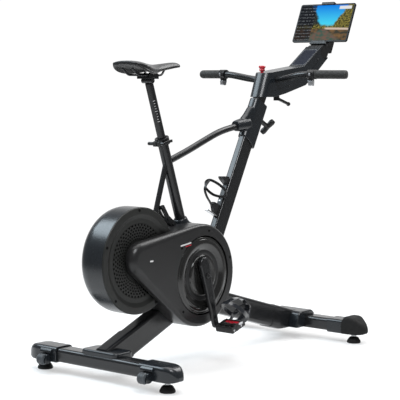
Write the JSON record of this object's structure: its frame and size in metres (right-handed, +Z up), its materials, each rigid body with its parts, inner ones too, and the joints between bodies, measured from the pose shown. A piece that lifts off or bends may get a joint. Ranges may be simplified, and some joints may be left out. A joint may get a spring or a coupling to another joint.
{
  "type": "exercise bike",
  "caption": "Smart exercise bike on two cross stabilisers with a rear flywheel drum, belt drive covers, a bicycle saddle, straight handlebar and tablet console",
  "frame": {"origin": "floor level below the middle of the whole bike, at the bottom of the bounding box", "axes": "+X towards the front of the bike, +Y to the rider left, +Z up"},
  "size_m": [1.3423, 0.6536, 1.2542],
  "materials": {
    "frame_paint": "satin",
    "moulded_grey": "satin",
    "cover_plastic": "matte",
    "disc_gloss": "gloss",
    "black_plastic": "matte",
    "cage_plastic": "gloss",
    "rubber_black": "matte",
    "roller_grey": "matte",
    "cast_wheel": "satin",
    "steel": "satin",
    "alloy": "satin",
    "saddle_skin": "satin",
    "red_plastic": "gloss",
    "screen_glass": "gloss"
  },
  "bodies": {
    "frame": {"rear_beam": "frame_paint", "front_beam": "frame_paint", "top_tube": "frame_paint", "rear_stay": "frame_paint", "head_post": "frame_paint", "seat_tube": "frame_paint", "seat_clamp": "frame_paint", "rear_stabiliser": "frame_paint", "front_stabiliser": "frame_paint", "rear_end_cap_right": "moulded_grey", "rear_end_cap_left": "moulded_grey", "front_end_cap_right": "moulded_grey", "front_end_cap_left": "moulded_grey", "rear_base_cover": "moulded_grey", "front_base_cover": "moulded_grey", "drum_shell": "moulded_grey", "drum_grille": "cover_plastic", "flywheel_axle": "steel", "right_cover": "cover_plastic", "left_cover": "cover_plastic", "seat_tube_boot": "rubber_black", "head_cover": "moulded_grey", "bottle_cage": "black_plastic", "drive_belt": "rubber_black"},
    "crank": {"crank_spindle": "steel", "crank_disc": "disc_gloss", "crank_arm_right": "frame_paint", "crank_arm_left": "frame_paint"},
    "flywheel": {"flywheel": "cast_wheel"},
    "brake": {"brake_yoke": "steel"},
    "pedal_right": {"pedal_right": "black_plastic", "toe_cage_right": "cage_plastic"},
    "pedal_left": {"pedal_left": "black_plastic", "toe_cage_left": "cage_plastic"},
    "seat_post": {"seat_post": "frame_paint"},
    "clamp_lever": {"seat_clamp_lever": "frame_paint"},
    "saddle_clamp": {"saddle_clamp": "alloy"},
    "saddle": {"saddle": "saddle_skin", "saddle_rails": "steel"},
    "post_knob": {"post_knob": "black_plastic"},
    "bar_post": {"handlebar_post": "frame_paint"},
    "console": {"console_body": "moulded_grey", "handlebar": "frame_paint", "grip_right": "rubber_black", "grip_left": "rubber_black", "shifter_right": "black_plastic", "shifter_left": "black_plastic"},
    "red_knob": {"red_knob": "red_plastic"},
    "console_lever": {"console_lever": "black_plastic"},
    "button_right": {"shift_button_right": "alloy"},
    "button_left": {"shift_button_left": "alloy"},
    "tablet_holder": {"tablet_holder": "black_plastic", "tablet": "screen_glass"},
    "tablet_jaw": {"tablet_jaw": "black_plastic"},
    "foot_rear_right": {"rear_foot_right": "rubber_black"},
    "foot_rear_left": {"rear_foot_left": "rubber_black"},
    "foot_front_right": {"front_foot_right": "rubber_black"},
    "foot_front_left": {"front_foot_left": "rubber_black"},
    "roller_right": {"transport_roller_right": "roller_grey"},
    "roller_left": {"transport_roller_left": "roller_grey"}
  },
  "joints": [
    {"name": "crank_turn", "type": "hinge", "parent": "frame", "child": "crank", "pos_m": [-0.2093, 0, 0.302], "axis": [0, 1, 0], "continuous": true},
    {"name": "flywheel_turn", "type": "hinge", "parent": "frame", "child": "flywheel", "pos_m": [-0.4913, 0, 0.375], "axis": [0, 1, 0], "continuous": true},
    {"name": "pedal_turn_right", "type": "hinge", "parent": "crank", "child": "pedal_right", "pos_m": [-0.17396, -0.177, 0.13571], "axis": [0, 1, 0], "continuous": true},
    {"name": "pedal_turn_left", "type": "hinge", "parent": "crank", "child": "pedal_left", "pos_m": [-0.24464, 0.177, 0.46829], "axis": [0, 1, 0], "continuous": true},
    {"name": "brake_swing", "type": "hinge", "parent": "frame", "child": "brake", "pos_m": [-0.51769, -0.015, 0.52469], "axis": [0, 1, 0], "range_deg": [0, 3]},
    {"name": "seat_post_height", "type": "slide", "parent": "frame", "child": "seat_post", "axis": [-0.3355, 0, 0.9421], "range_m": [-0.13, 0.08]},
    {"name": "seat_lever_swing", "type": "hinge", "parent": "frame", "child": "clamp_lever", "pos_m": [-0.34044, -0.023, 0.74136], "axis": [0, 1, 0], "range_deg": [0, 140]},
    {"name": "saddle_tilt", "type": "hinge", "parent": "seat_post", "child": "saddle_clamp", "pos_m": [-0.3893, 0, 0.948], "axis": [0, 1, 0], "range_deg": [-12, 12]},
    {"name": "saddle_fore_aft", "type": "slide", "parent": "saddle_clamp", "child": "saddle", "axis": [1, 0, 0], "range_m": [-0.007, 0.018]},
    {"name": "post_knob_turn", "type": "hinge", "parent": "frame", "child": "post_knob", "pos_m": [0.21306, 0, 0.81402], "axis": [0.887, 0, -0.4617], "range_deg": [-170, 170]},
    {"name": "bar_post_height", "type": "slide", "parent": "frame", "child": "bar_post", "axis": [0.4617, 0, 0.887], "range_m": [0, 0.11]},
    {"name": "console_fore_aft", "type": "slide", "parent": "bar_post", "child": "console", "axis": [1, 0, 0], "range_m": [-0.043, 0]},
    {"name": "red_knob_press", "type": "slide", "parent": "console", "child": "red_knob", "axis": [0, 0, 1], "range_m": [-0.003, 0], "stiffness_N_per_m": 400},
    {"name": "console_lever_swing", "type": "hinge", "parent": "console", "child": "console_lever", "pos_m": [0.3207, 0, 0.89], "axis": [0, 0, 1], "range_deg": [-90, 90]},
    {"name": "shift_button_press_right", "type": "slide", "parent": "console", "child": "button_right", "axis": [0.9724, 0.2334, 0], "range_m": [0, 0.0018], "stiffness_N_per_m": 300},
    {"name": "shift_button_press_left", "type": "slide", "parent": "console", "child": "button_left", "axis": [0.9724, -0.2334, 0], "range_m": [0, 0.0018], "stiffness_N_per_m": 300},
    {"name": "tablet_tilt", "type": "hinge", "parent": "console", "child": "tablet_holder", "pos_m": [0.5807, 0, 1.062], "axis": [0, 1, 0], "range_deg": [-12, 20]},
    {"name": "tablet_jaw_slide", "type": "slide", "parent": "tablet_holder", "child": "tablet_jaw", "axis": [0.3987, 0, 0.9171], "range_m": [0, 0.03], "stiffness_N_per_m": 60, "springref_m": -0.02},
    {"name": "foot_turn_rear_right", "type": "hinge", "parent": "frame", "child": "foot_rear_right", "pos_m": [-0.5933, -0.265, 0.02], "axis": [0, 0, 1], "range_deg": [-180, 180]},
    {"name": "foot_turn_rear_left", "type": "hinge", "parent": "frame", "child": "foot_rear_left", "pos_m": [-0.5933, 0.265, 0.02], "axis": [0, 0, 1], "range_deg": [-180, 180]},
    {"name": "foot_turn_front_right", "type": "hinge", "parent": "frame", "child": "foot_front_right", "pos_m": [0.4557, -0.265, 0.02], "axis": [0, 0, 1], "range_deg": [-180, 180]},
    {"name": "foot_turn_front_left", "type": "hinge", "parent": "frame", "child": "foot_front_left", "pos_m": [0.4557, 0.265, 0.02], "axis": [0, 0, 1], "range_deg": [-180, 180]},
    {"name": "roller_turn_right", "type": "hinge", "parent": "frame", "child": "roller_right", "pos_m": [-0.6533, -0.218, 0.046], "axis": [0, 1, 0], "continuous": true},
    {"name": "roller_turn_left", "type": "hinge", "parent": "frame", "child": "roller_left", "pos_m": [-0.6533, 0.218, 0.046], "axis": [0, 1, 0], "continuous": true}
  ],
  "couplings": [
    {"joint": "flywheel_turn", "follows": "crank_turn", "ratio": 4.375}
  ]
}
